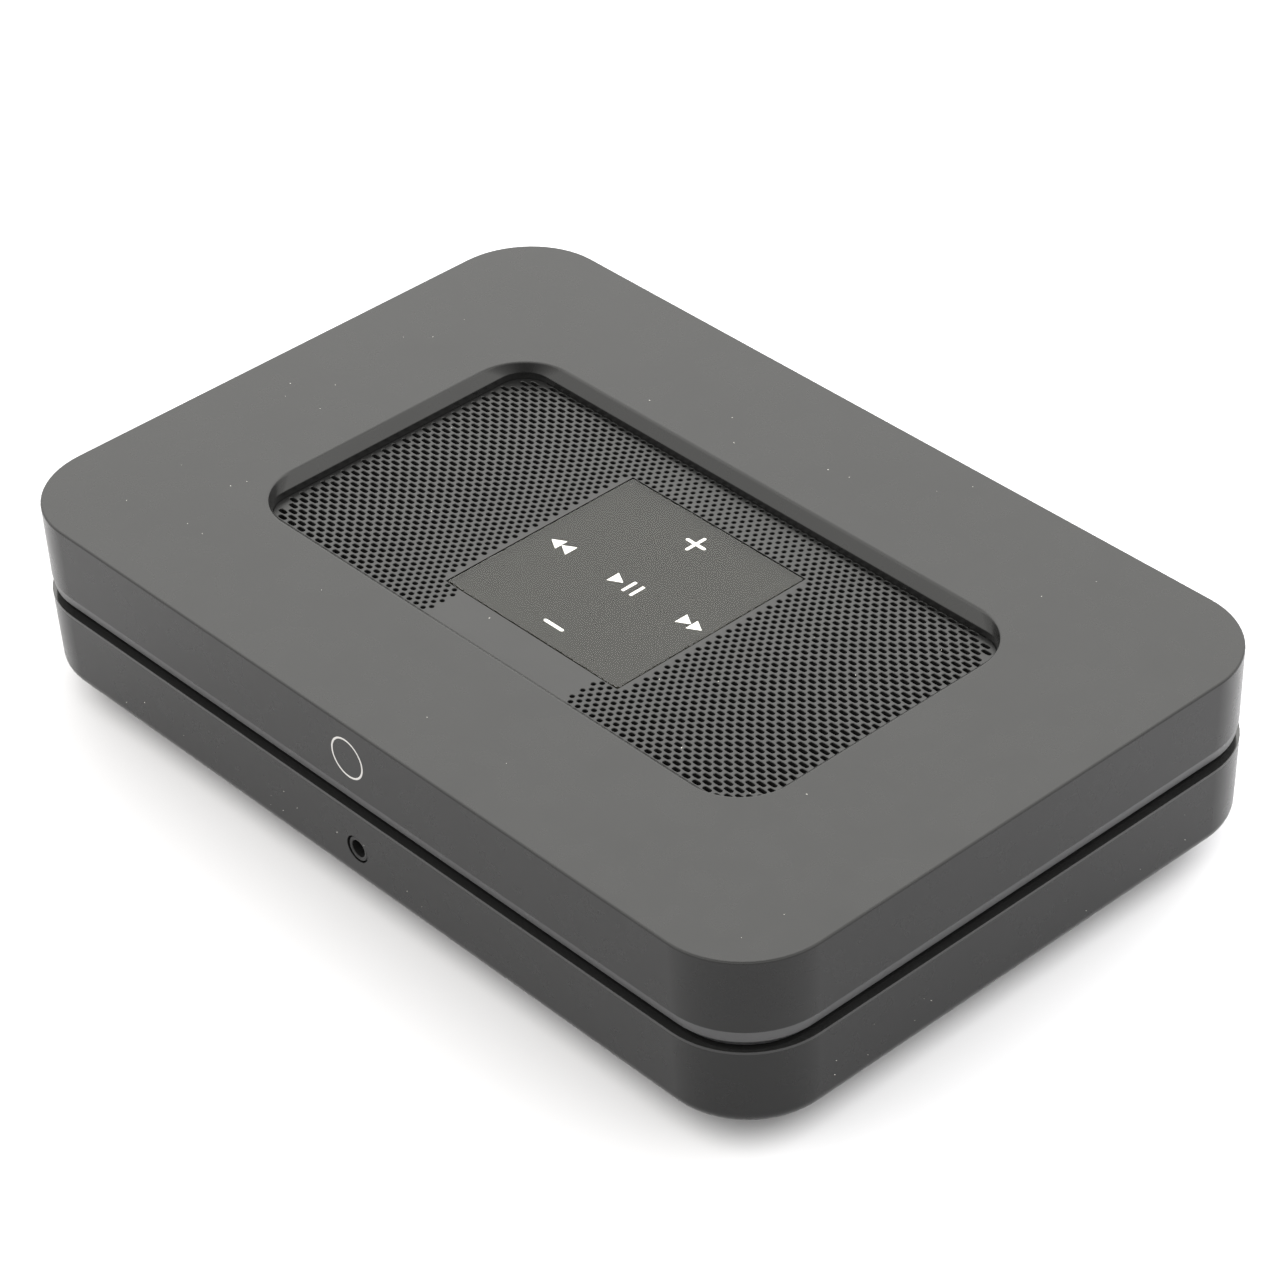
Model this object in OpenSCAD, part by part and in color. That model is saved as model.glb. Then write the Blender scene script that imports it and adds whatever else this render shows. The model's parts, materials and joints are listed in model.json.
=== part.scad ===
// Desktop network and bluetooth audio receiver: two stacked slabs with a dark waist,
// a recessed perforated deck with a touch panel on top, and a row of sockets at the back.
// Units are millimetres. The origin is the centre of the base, +Z up, +X right, -Y front.

/* [Case] */
// Overall width
case_w = 220; // [200:1:240]
// Overall depth
case_d = 146; // [130:1:160]
// Overall height
case_h = 46; // [44:0.5:50]
// Plan radius of the corners
corner_r = 19.5; // [12:0.5:26]
// Wall thickness of both shells
wall = 2.4; // [2:0.1:3]
// Height of the upper shell's bottom lip
lip_z = 25.2; // [25:0.1:27]
// Height where the upper shell's undercut starts
undercut_z = 29.2; // [28:0.1:32]
// How far the bottom lip is set in along the straight sides
lip_inset = 2.4; // [1:0.1:3.5]
// Plan radius of the bottom lip's corners
lip_r = 15; // [8:0.5:18]
// Height of the lower shell's rim, without the waist frame
rim_z = 24.05; // [23:0.05:25]
// Height of the lower shell's underside
belly_z = 6; // [3:0.5:8]
// Radius of the lower shell's bottom edge
belly_r = 3; // [1:0.5:5]

/* [Deck] */
// Width of the recess in the top
recess_w = 147.2; // [140:0.2:160]
// Depth of the recess in the top, front to back
recess_d = 77.6; // [70:0.2:90]
// Plan radius of the recess
recess_r = 13; // [5:0.5:14]
// Plan radius of the straight well below the slope
well_r = 6.75; // [3:0.25:11]
// Width and height of the slope round the recess
recess_slope = 2.25; // [0.5:0.05:3]
// How far the deck lies under the top face
recess_drop = 3.8; // [2:0.1:5]
// Width of the perforated plate
plate_w = 142.4; // [130:0.2:150]
// Depth of the perforated plate, front to back
plate_d = 72.8; // [60:0.2:80]
// Thickness of the perforated plate
plate_t = 1.2; // [0.8:0.1:2]
// Side of the square touch panel
panel_w = 50.6; // [40:0.2:60]
// Distance of the touch symbols from the panel's centre
icon_reach = 19.3; // [15:0.1:22]

/* [Sockets] */
// Height of the sockets' centre line at the back
socket_z = 15.4; // [14:0.1:17]
// Height of the headphone jack at the front
phones_z = 14.9; // [12:0.1:18]
// Bore radius of the 3.5 mm jacks
jack_bore_r = 1.85; // [1.8:0.01:2]
// Outer radius of the phono sockets' barrels
phono_r = 4.15; // [4.1:0.01:4.3]
// Travel of the pairing button
button_travel = 0.5; // [0.3:0.1:1]

/* [Hidden] */
$fn = 64;
deck_z = case_h - recess_drop;
plate_z = deck_z - plate_t;
mesh_z = plate_z - 0.4;
well_w = recess_w - 2 * recess_slope;
well_d = recess_d - 2 * recess_slope;
board_z = 8;
board_top = 9.6;
bay_y = 63;
bay_t = 1.6;
bay_face = bay_y + bay_t;
boss_x = 97;
boss_y = 56.5;
tub_w = 184;
tub_d = 110;
tub_r = 12;
jack_xs = [30.5, 19.5, 8.5];
phono_xs = [-22, -35, -48, -61];
optical_x = -7;
lan_x = 78;
usb_x = 58.5;
micro_x = 43.5;
inlet_x = -80;
button_x = 90.5;
mains_pin_gap = 8.6;
main_posts = [[-30, -45], [-30, 44], [30, -45], [84, -45], [84, 36]];
power_posts = [[-86, -45], [-50, -45], [-86, 38], [-50, 38]];

grey_top = [0.36, 0.36, 0.355];
grey_low = [0.30, 0.30, 0.295];
black_gloss = [0.03, 0.03, 0.03];
black_matte = [0.06, 0.06, 0.06];
board_green = [0.04, 0.18, 0.10];
steel = [0.70, 0.70, 0.70];
brass = [0.78, 0.62, 0.30];

// ---- helpers ----

module rounded(w, d, r) {
    square([w - 2 * r, d], center = true);
    square([w, d - 2 * r], center = true);
    for (x = [-1, 1], y = [-1, 1])
        translate([x * (w / 2 - r), y * (d / 2 - r)]) circle(r);
}

module slab(w, d, r, z0, z1) {
    translate([0, 0, z0]) linear_extrude(z1 - z0) rounded(w, d, r);
}

module block(x0, x1, y0, y1, z0, z1) {
    translate([x0, y0, z0]) cube([x1 - x0, y1 - y0, z1 - z0]);
}

module post(x, y, z0, z1, r) {
    translate([x, y, z0]) cylinder(r = r, h = z1 - z0);
}

// A round bar along Y from y0 to y1.
module bar_y(x, z, y0, y1, r) {
    translate([x, y1, z]) rotate([90, 0, 0]) cylinder(r = r, h = y1 - y0);
}

// A round bar along X from x0 to x1.
module bar_x(y, z, x0, x1, r) {
    translate([x0, y, z]) rotate([0, 90, 0]) cylinder(r = r, h = x1 - x0);
}

// A thin layer of the case outline, set in by inset, used to build the shells.
module layer(z, inset, r) {
    translate([0, 0, z]) linear_extrude(0.01, $fn = 32)
        rounded(case_w - 2 * inset, case_d - 2 * inset, r, $fn = 32);
}

// A thin eight-sided wire of straight runs between points, each run a little overlong.
module wire(points, r) {
    for (i = [0 : 1 : len(points) - 2]) {
        run = points[i + 1] - points[i];
        translate(points[i])
            rotate([0, acos(run[2] / norm(run)), atan2(run[1], run[0])])
                translate([0, 0, -r / 2]) cylinder(r = r, h = norm(run) + r, $fn = 8);
    }
}

// A thin strip drawn in a plane as straight runs between points.
module strip(points, t) {
    for (i = [0 : 1 : len(points) - 2]) {
        run = points[i + 1] - points[i];
        translate((points[i] + points[i + 1]) / 2)
            rotate(atan2(run[1], run[0])) square([norm(run) + t, t], center = true);
    }
}

// ---- upper shell and deck ----

module top_shell() {
    color(grey_top) {
        difference() {
            hull() {
                layer(case_h - 0.01, 0, corner_r);
                layer(undercut_z, 0.4, corner_r - 0.4);
                layer(lip_z, lip_inset, lip_r);
            }
            slab(case_w - 2 * wall - 0.8, case_d - 2 * wall - 0.8, corner_r - wall - 0.4,
                 undercut_z + 0.6, case_h - 2.8);
            slab(case_w - 10.4, case_d - 10.4, corner_r - 5.2, lip_z - 1, undercut_z + 1);
            slab(well_w, well_d, well_r, case_h - 3, case_h + 1);
            recess_bevel();
            translate([0, -case_d / 2 + 1.4, 37.5]) rotate([90, 0, 0]) difference() {
                cylinder(r = 4.75, h = 3);
                translate([0, 0, -1]) cylinder(r = 4.15, h = 5);
            }
        }
        recess_tub();
        for (x = [-1, 1], y = [-1, 1]) top_boss(x * boss_x, y * boss_y);
    }
}

// The sloping band round the recess, from the top face down to the well.
module recess_bevel() {
    hull() {
        translate([0, 0, case_h]) linear_extrude(0.5, $fn = 32)
            rounded(recess_w, recess_d, recess_r, $fn = 32);
        translate([0, 0, case_h - recess_slope]) linear_extrude(0.01, $fn = 32)
            rounded(well_w, well_d, well_r, $fn = 32);
    }
}

module recess_tub() {
    difference() {
        slab(recess_w + 4, recess_d + 4, well_r + 4.25, mesh_z - 2, case_h - 2.8);
        slab(well_w, well_d, well_r, mesh_z, case_h);
        slab(recess_w - 8, recess_d - 8, well_r - 1.75, mesh_z - 3, case_h);
    }
    for (x = [-1, 1])
        block(x * 32 - 1.5, x * 32 + 1.5, -recess_d / 2 + 4, recess_d / 2 - 4,
              mesh_z - 3, mesh_z);
}

module top_boss(x, y) {
    difference() {
        post(x, y, 12.2, case_h - 2.8, 3.6);
        post(x, y, 12, 34, 1.3);
    }
}

module grille_plate() {
    color(grey_top) difference() {
        slab(plate_w, plate_d, well_r - 0.15, plate_z, deck_z);
        block(-panel_w / 2 - 0.3, panel_w / 2 + 0.3, -panel_w / 2 - 0.3, panel_w / 2 + 0.3,
              plate_z - 1, deck_z + 1);
    }
}

module grille_mesh() {
    color(black_matte) difference() {
        slab(well_w - 0.6, well_d - 0.6, well_r - 0.3, mesh_z, plate_z);
        block(-26, 26, -26, 26, mesh_z - 1, plate_z + 1);
    }
}

module touch_panel() {
    color([0.30, 0.30, 0.28]) slab(panel_w, panel_w, 1, mesh_z - 0.2, deck_z);
}

// Black film under the clear panel, with openings for the symbols.
module touch_mask() {
    color(black_matte) difference() {
        slab(panel_w, panel_w, 1, mesh_z - 0.3, mesh_z - 0.2);
        icon_shapes(0.03, mesh_z - 1, mesh_z);
    }
}

module touch_icons() {
    color([0.93, 0.93, 0.90]) icon_shapes(0, mesh_z - 0.3, mesh_z - 0.2);
}

// Plus, minus, skip back, skip on and play-pause marks, grown by g on every side.
module icon_shapes(g, z0, z1) {
    translate([0, 0, z0]) linear_extrude(z1 - z0) {
        translate([0, icon_reach]) {
            dash(5.6, g);
            rotate(90) dash(5.6, g);
        }
        translate([0, -icon_reach]) dash(5.6, g);
        for (side = [-1, 1], step = [0, 1])
            translate([side * (icon_reach - 3.1 + 3.05 * step), 0])
                scale([side, 1]) arrow(2.95, 3.4, g);
        translate([-3.8, 0]) arrow(3.2, 3.4, g);
        for (x = [1.1, 3.4])
            translate([x, 0]) square([0.75 + 2 * g, 3.9 + 2 * g], center = true);
    }
}

module dash(length, g) {
    square([length - 0.8, 0.8 + 2 * g], center = true);
    for (s = [-1, 1]) translate([s * (length / 2 - 0.4), 0]) circle(0.4 + g, $fn = 24);
}

module arrow(w, h, g) {
    polygon([[-g, -h / 2 - 1.5 * g], [w + 1.5 * g, 0], [-g, h / 2 + 1.5 * g]]);
}

module panel_carrier() {
    color(black_matte) difference() {
        slab(61, 61, 2, mesh_z - 3, mesh_z - 1.4);
        slab(44, 44, 2, mesh_z - 4, mesh_z);
    }
}

module touch_board() {
    color(board_green) {
        slab(54, 54, 1, mesh_z - 1.4, mesh_z - 0.3);
        block(-7, 7, -21, -16, mesh_z - 2.4, mesh_z - 1.4);
        block(4, 10, 4, 10, mesh_z - 2.4, mesh_z - 1.4);
    }
}

// Flat cable from the touch board down to the main board.
module touch_ribbon() {
    color([0.75, 0.45, 0.12]) translate([-6, 0, 0])
        rotate([90, 0, 90]) linear_extrude(12)
            strip([[-18, 38], [-28, 35.8], [-30, 33.5], [-30, 13], [-29, 11.2]], 0.25);
}

module status_ring() {
    color([0.75, 0.76, 0.77])
        translate([0, -case_d / 2 + 1.4, 37.5]) rotate([90, 0, 0]) difference() {
            cylinder(r = 4.72, h = 1.2);
            translate([0, 0, -1]) cylinder(r = 4.18, h = 4);
        }
}

module status_board() {
    color(board_green) {
        block(-20, 20, -69.2, -68, 31.4, 42.6);
        block(-2, 2, -68, -66.8, 35.5, 39.5);
        block(-16, -10, -68, -66, 33, 36);
    }
}

module remote_sensor() {
    color([0.18, 0.05, 0.07]) {
        block(12, 17.6, -70, -69.2, 34.5, 40.5);
        bar_y(14.8, 37.5, -70.1, -69.9, 1.9);
    }
}

// ---- waist ----

module waist_frame() {
    color(black_gloss) {
        difference() {
            slab(case_w - 0.3, case_d - 0.3, corner_r - 0.15, rim_z, rim_z + 0.6);
            slab(case_w - 16, case_d - 16, corner_r - 8, rim_z - 1, rim_z + 2);
        }
        difference() {
            slab(case_w - 11, case_d - 11, corner_r - 5.5, rim_z + 0.3, undercut_z);
            slab(case_w - 14.6, case_d - 14.6, corner_r - 7.3, rim_z - 1, undercut_z + 1);
        }
    }
}

// ---- lower shell ----

module bottom_shell() {
    color(grey_low) {
        difference() {
            hull() {
                layer(rim_z - 0.01, 0.15, corner_r - 0.15);
                layer(belly_z + belly_r, 0.7, corner_r - 0.7);
                layer(belly_z + belly_r * (1 - sin(35)), 0.7 + belly_r * (1 - cos(35)),
                      corner_r - 0.7 - belly_r * (1 - cos(35)));
                layer(belly_z + belly_r * (1 - sin(65)), 0.7 + belly_r * (1 - cos(65)),
                      corner_r - 0.7 - belly_r * (1 - cos(65)));
                layer(belly_z, 0.7 + belly_r, corner_r - 0.7 - belly_r);
            }
            slab(case_w - 6.6, case_d - 6.6, corner_r - 3.3, belly_z + 1.6, rim_z + 1);
            slab(tub_w - 4, tub_d - 4, tub_r - 2, belly_z - 1, rim_z);
            block(-95, 95, 60, 80, 8.8, 23.5);
            bar_y(0.2, phones_z, -80, -60, 3.05);
            for (x = [-1, 1], y = [-1, 1]) post(x * boss_x, y * boss_y, 0, 20, 1.7);
            for (x = [-1, 1], y = [-1, 1]) post(x * boss_x, y * boss_y, 0, 9.4, 3.1);
        }
        base_tub();
        for (x = [-1, 1], y = [-1, 1]) lower_boss(x * boss_x, y * boss_y);
        for (p = concat(main_posts, power_posts)) board_post(p[0], p[1]);
    }
}

module base_tub() {
    difference() {
        slab(tub_w, tub_d, tub_r, 2, belly_z + 1.6);
        slab(tub_w - 4.4, tub_d - 4.4, tub_r - 2.2, 4, belly_z + 4);
    }
}

module lower_boss(x, y) {
    difference() {
        post(x, y, belly_z + 1.6, 12, 4.6);
        post(x, y, 0, 20, 1.7);
        post(x, y, 0, 9.4, 3.1);
    }
}

module board_post(x, y) {
    difference() {
        post(x, y, 4, board_z, 3);
        post(x, y, 5, 20, 1.3);
    }
}

module rubber_foot() {
    color(black_matte) difference() {
        slab(tub_w - 2, tub_d - 2, tub_r - 1, 0, 2);
        slab(tub_w - 24, tub_d - 24, tub_r - 4, -1, 0.6);
    }
}

module case_screws() {
    color(steel) for (x = [-1, 1], y = [-1, 1]) difference() {
        union() {
            post(x * boss_x, y * boss_y, 7, 9.4, 2.8);
            post(x * boss_x, y * boss_y, 9.4, 33, 1.25);
        }
        translate([x * boss_x, y * boss_y, 6]) cylinder(r = 1.1, h = 2.2, $fn = 6);
    }
}

// ---- boards ----

module main_board() {
    color(board_green) difference() {
        union() {
            block(-38, 91.5, -66, 61.4, board_z, board_top);
            block(-68, -37, 46, 61.4, board_z, board_top);
        }
        for (p = main_posts) post(p[0], p[1], 0, 20, 1.6);
    }
}

module power_board() {
    color([0.50, 0.36, 0.16]) difference() {
        union() {
            block(-91.5, -42, -58, 44.5, board_z, board_top);
            block(-91.5, -70, 44, 61.4, board_z, board_top);
        }
        for (p = power_posts) post(p[0], p[1], 0, 20, 1.6);
    }
}

module board_screws() {
    color(steel) for (p = concat(main_posts, power_posts)) difference() {
        union() {
            post(p[0], p[1], board_top, board_top + 1.8, 2.7);
            post(p[0], p[1], 5.4, board_top, 1.25);
        }
        post(p[0], p[1], board_top + 0.8, board_top + 3, 1.1);
    }
}

module board_chips() {
    color(black_matte) {
        block(-24, -14, 20, 30, board_top, board_top + 1.4);
        block(-6, 2, 22, 30, board_top, board_top + 1.4);
        block(-26, -12, -10, 4, board_top, board_top + 1.6);
        block(46, 58, 28, 40, board_top, board_top + 1.6);
        block(70, 76, -30, -24, board_top, board_top + 1.2);
        for (i = [0 : 4]) post(-30 + 9 * i, 35, board_top, board_top + 8, 2.5);
        for (i = [0 : 2]) post(62 + 9 * i, -36, board_top, board_top + 9, 3.1);
        block(-7, 7, -31, -27, board_top, board_top + 1.4);
    }
}

module processor_shield() {
    color(steel) difference() {
        block(14, 54, -20, 20, board_top, board_top + 3);
        block(14.4, 53.6, -19.6, 19.6, board_top - 1, board_top + 2.6);
    }
}

module heat_sink() {
    color([0.16, 0.16, 0.17]) {
        block(16, 52, -18, 18, board_top + 3, board_top + 6.5);
        for (i = [0 : 8])
            block(16 + 4.3 * i, 17.6 + 4.3 * i, -18, 18, board_top + 6, board_top + 21);
    }
}

module wireless_module() {
    color([0.62, 0.62, 0.60]) {
        block(64, 86, 2, 20, board_top, board_top + 1);
        block(65, 85, 3, 15, board_top + 1, board_top + 3);
    }
}

module antenna(side) {
    block(min(side * 107.1, side * 106.7), max(side * 107.1, side * 106.7), -20, 22, 31.5, 42);
    block(min(side * 106.7, side * 104.9), max(side * 106.7, side * 104.9), -2, 3, 34, 37);
}

module antenna_left() {
    color([0.55, 0.40, 0.12]) antenna(-1);
}

module antenna_right() {
    color([0.55, 0.40, 0.12]) antenna(1);
}

// Thin coaxial leads from the two antennas to the wireless module.
module antenna_leads() {
    color([0.12, 0.12, 0.12]) {
        wire([[104.3, 0.5, 33.9], [99, 2, 31.5], [97, 4, 20], [84, 17, 15], [82, 17.5, 11.7]], 0.6);
        wire([[-104.3, 0.5, 33.9], [-98, 30, 31], [0, 32, 31], [66, 24, 20], [67, 17.5, 11.7]],
             0.6);
    }
}

module power_transformer() {
    color([0.85, 0.70, 0.15]) {
        block(-86, -56, -14, 12, board_top + 3, board_top + 20);
        block(-80, -62, -18, 16, board_top, board_top + 22);
    }
}

module bulk_capacitor() {
    color([0.07, 0.08, 0.14]) {
        bar_y(-80, board_top + 7.2, -42, -20, 7);
        bar_y(-62, board_top + 7.2, -42, -20, 7);
        post(-58, 25, board_top, board_top + 13, 4);
        post(-58, 36, board_top, board_top + 11, 3.4);
    }
}

module power_heat_sink() {
    color([0.60, 0.61, 0.62]) {
        block(-49, -47, -26, 14, board_top, board_top + 20);
        for (i = [0 : 3]) block(-47, -43, -26 + 12 * i, -24 + 12 * i, board_top, board_top + 20);
    }
}

// Twisted supply lead from the power board to the main board.
module supply_lead() {
    color([0.65, 0.08, 0.06]) for (i = [0 : 3])
        wire([[-45, 20 + 2 * i, board_top + 0.6], [-43, 20 + 2 * i, board_top + 5],
              [-33, 8 + 2 * i, board_top + 5], [-31, 8 + 2 * i, board_top + 0.6]], 0.7);
}

module insulation_sheet() {
    color([0.85, 0.85, 0.80]) difference() {
        translate([-66, 0, 0]) slab(46, 101, 9, 4.05, 4.45);
        for (p = power_posts) post(p[0], p[1], 0, 20, 3.4);
    }
}

// ---- rear panel and sockets ----

// Tray-shaped panel set into the back of the lower shell.
module rear_panel() {
    color(black_matte) difference() {
        block(-96.2, 96.2, bay_y - 1.2, 68.5, 7.65, 24);
        block(-95, 95, bay_y, 80, 8.3, 23.4);
        block(lan_x - 8.2, lan_x + 8.2, 55, 80, board_top - 4, 23.2);
        block(usb_x - 7.2, usb_x + 7.2, 55, 80, socket_z - 4, socket_z + 4);
        block(micro_x - 4.2, micro_x + 4.2, 55, 80, socket_z - 1.9, socket_z + 1.9);
        for (x = jack_xs) bar_y(x, socket_z, 55, 80, 3.3);
        block(optical_x - 5.2, optical_x + 5.2, 55, 80, board_top - 0.2, socket_z + 5.2);
        for (x = phono_xs) bar_y(x, socket_z, 55, 80, 5.2);
        block(inlet_x - 11.2, inlet_x + 11.2, 55, 80, socket_z - 6.2, socket_z + 6.2);
        bar_y(button_x, socket_z, 55, 80, 2.2);
    }
}

module lan_socket() {
    color(steel) difference() {
        block(lan_x - 8, lan_x + 8, bay_face - 21, bay_face, board_top, 23);
        block(lan_x - 5.9, lan_x + 5.9, bay_face - 14, 80, board_top + 4.4, 21.6);
        block(lan_x - 3.1, lan_x + 3.1, bay_face - 9, 80, board_top + 1.2, board_top + 5);
    }
}

module lan_contacts() {
    color(brass) for (i = [0 : 7])
        block(lan_x - 3.8 + 1.02 * i, lan_x - 3.4 + 1.02 * i, bay_face - 14, bay_face - 5,
              20.9, 21.6);
}

module usb_socket() {
    color(steel) {
        difference() {
            block(usb_x - 7, usb_x + 7, bay_face - 17, bay_face, socket_z - 3.6, socket_z + 3.6);
            block(usb_x - 6.3, usb_x + 6.3, bay_face - 15, 80, socket_z - 2.6, socket_z + 2.6);
        }
        block(usb_x - 6, usb_x + 6, bay_face - 16, bay_face - 5, board_top, socket_z - 3.6);
    }
}

module usb_tongue() {
    color([0.90, 0.90, 0.88])
        block(usb_x - 5.6, usb_x + 5.6, bay_face - 15, bay_face - 3, socket_z + 0.8, socket_z + 2.6);
}

module service_socket() {
    color(steel) {
        difference() {
            block(micro_x - 4, micro_x + 4, bay_face - 8, bay_face, socket_z - 1.7, socket_z + 1.7);
            block(micro_x - 3.5, micro_x + 3.5, bay_face - 7, 80, socket_z - 1.2, socket_z + 1.2);
        }
        block(micro_x - 2.5, micro_x + 2.5, bay_face - 7.5, bay_face - 2,
              socket_z + 0.1, socket_z + 0.7);
        block(micro_x - 4, micro_x + 4, bay_face - 8, bay_face - 3.5, board_top, socket_z - 1.7);
    }
}

// A 3.5 mm socket at the back, its mouth towards +Y.
module rear_jack(x) {
    difference() {
        union() {
            block(x - 4, x + 4, bay_face - 15, bay_y - 1.6, board_top, socket_z + 4);
            bar_y(x, socket_z, bay_y - 1.6, bay_face, 3.1);
        }
        bar_y(x, socket_z, bay_face - 13.5, 80, jack_bore_r);
    }
}

module trigger_jack() {
    color(black_matte) rear_jack(jack_xs[0]);
}

module remote_input_jack() {
    color(black_matte) rear_jack(jack_xs[1]);
}

module audio_input_jack() {
    color(black_matte) rear_jack(jack_xs[2]);
}

module optical_socket() {
    color(black_matte) difference() {
        block(optical_x - 5, optical_x + 5, bay_face - 15, bay_face, board_top, socket_z + 5);
        block(optical_x - 3.6, optical_x + 3.6, bay_face - 10.5, 80, socket_z - 3.6, socket_z + 3.6);
        bar_x(bay_y, socket_z + 2.7, optical_x - 4.5, optical_x + 4.5, 0.56);
    }
}

// Spring flap that hangs behind the optical socket's mouth and swings inwards.
module optical_shutter() {
    color([0.10, 0.10, 0.11]) {
        bar_x(bay_y, socket_z + 2.7, optical_x - 4.4, optical_x + 4.4, 0.5);
        block(optical_x - 3.25, optical_x + 3.25, bay_y - 0.4, bay_y + 0.4,
              socket_z - 3.2, socket_z + 2.7);
    }
}

module phono_block() {
    color(black_matte) difference() {
        block(phono_xs[3] - 6, phono_xs[0] + 6, bay_face - 17, bay_y - 1.6, board_top, 22.6);
        for (x = phono_xs) bar_y(x, socket_z, 40, 75, 4.6);
    }
}

module phono_barrels() {
    color(steel) for (x = phono_xs) difference() {
        union() {
            bar_y(x, socket_z, bay_face - 15, bay_face + 0.4, phono_r - 0.25);
            bar_y(x, socket_z, bay_face + 0.4, bay_face + 7.9, phono_r);
        }
        bar_y(x, socket_z, bay_face - 13.5, 90, 3.3);
    }
}

// Insulated centre contact of each phono socket.
module phono_contacts() {
    color([0.92, 0.90, 0.84]) for (x = phono_xs) difference() {
        bar_y(x, socket_z, bay_face - 13.5, bay_face + 7, 3.3);
        bar_y(x, socket_z, bay_face - 9, 90, 1.65);
    }
}

module phono_ring(x) {
    difference() {
        bar_y(x, socket_z, bay_y - 1.6, bay_face + 0.3, 5);
        bar_y(x, socket_z, 50, 80, phono_r - 0.2);
    }
}

module phono_ring_left() {
    color([0.92, 0.92, 0.92]) phono_ring(phono_xs[0]);
}

module phono_ring_right() {
    color([0.75, 0.06, 0.05]) phono_ring(phono_xs[1]);
}

module phono_ring_sub() {
    color([0.10, 0.10, 0.10]) phono_ring(phono_xs[2]);
}

module phono_ring_digital() {
    color([0.90, 0.42, 0.05]) phono_ring(phono_xs[3]);
}

// Two-pole figure-eight mains inlet.
module mains_inlet() {
    color(black_matte) difference() {
        block(inlet_x - 11, inlet_x + 11, bay_face - 15, bay_face, board_top, socket_z + 6);
        for (s = [-1, 1]) bar_y(inlet_x + s * 4.3, socket_z, bay_face - 12.5, 80, 4.1);
        block(inlet_x - 4.3, inlet_x + 4.3, bay_face - 12.5, 80, socket_z - 3, socket_z + 3);
    }
}

module mains_pins() {
    color(steel) for (s = [-1, 1]) {
        bar_y(inlet_x + s * mains_pin_gap / 2, socket_z, bay_face - 12.5, bay_face - 3, 1.18);
        block(inlet_x + s * mains_pin_gap / 2 - 1, inlet_x + s * mains_pin_gap / 2 + 1,
              bay_face - 16.4, bay_face - 15, board_top, socket_z);
    }
}

// ---- front jack and rear button ----

module headphone_jack() {
    color(black_matte) difference() {
        union() {
            block(-5.8, 6.2, -66, -54, board_top, phones_z + 4.5);
            bar_y(0.2, phones_z, -69.6, -66, 3.6);
        }
        bar_y(0.2, phones_z, -80, -55.5, jack_bore_r);
    }
}

module headphone_bezel() {
    color(steel) difference() {
        bar_y(0.2, phones_z, -72.3, -69.6, 2.7);
        bar_y(0.2, phones_z, -80, -60, jack_bore_r);
    }
}

// Sprung pairing button in the rear panel.
module pair_button() {
    color([0.55, 0.56, 0.58]) {
        bar_y(button_x, socket_z, bay_y - 2.6, bay_face - 0.4, 1.8);
        bar_y(button_x, socket_z, bay_y - 3, bay_y - 2.4, 2.6);
    }
}

module pair_switch() {
    color(black_matte) {
        block(button_x - 3, button_x + 1, bay_y - 7.4, bay_y - 3.6, board_top, socket_z + 3);
    }
}

top_shell();
grille_plate();
grille_mesh();
touch_panel();
touch_mask();
touch_icons();
panel_carrier();
touch_board();
touch_ribbon();
status_ring();
status_board();
remote_sensor();
waist_frame();
bottom_shell();
rubber_foot();
case_screws();
main_board();
power_board();
board_screws();
board_chips();
processor_shield();
heat_sink();
wireless_module();
antenna_left();
antenna_right();
antenna_leads();
power_transformer();
bulk_capacitor();
power_heat_sink();
supply_lead();
insulation_sheet();
mains_inlet();
mains_pins();
rear_panel();
lan_socket();
lan_contacts();
usb_socket();
usb_tongue();
service_socket();
trigger_jack();
remote_input_jack();
audio_input_jack();
optical_socket();
optical_shutter();
phono_block();
phono_barrels();
phono_contacts();
phono_ring_left();
phono_ring_right();
phono_ring_sub();
phono_ring_digital();
headphone_jack();
headphone_bezel();
pair_button();
pair_switch();
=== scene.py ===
import json
import math
import random

import bmesh
import bpy
from mathutils import Matrix, Vector


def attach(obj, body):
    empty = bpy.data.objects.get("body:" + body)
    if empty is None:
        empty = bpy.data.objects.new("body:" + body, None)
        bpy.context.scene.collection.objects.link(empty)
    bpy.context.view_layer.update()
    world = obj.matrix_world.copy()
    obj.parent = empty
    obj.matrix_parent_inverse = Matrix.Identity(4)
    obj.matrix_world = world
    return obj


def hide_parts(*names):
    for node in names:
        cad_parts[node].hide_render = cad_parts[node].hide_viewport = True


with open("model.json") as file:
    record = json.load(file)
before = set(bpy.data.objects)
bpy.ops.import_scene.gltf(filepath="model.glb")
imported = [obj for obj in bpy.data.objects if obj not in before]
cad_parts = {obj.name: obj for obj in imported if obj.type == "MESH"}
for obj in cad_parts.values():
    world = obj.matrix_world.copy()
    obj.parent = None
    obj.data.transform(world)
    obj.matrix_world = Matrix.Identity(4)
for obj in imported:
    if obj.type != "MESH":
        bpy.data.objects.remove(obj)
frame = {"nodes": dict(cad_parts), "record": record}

MM = 0.001
CORNER_STEPS = 16

# CAD nodes whose place is taken by a piece made here
REPLACED = ("top_shell", "bottom_shell", "waist_frame", "grille_plate", "touch_panel",
            "touch_icons", "status_ring", "headphone_bezel")

# ---- sizes, in millimetres ----

CASE_HALF_W = 110.0
CASE_HALF_D = 73.0
CASE_R = 19.5              # plan radius of the case's corners
CASE_H = 46.0

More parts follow.
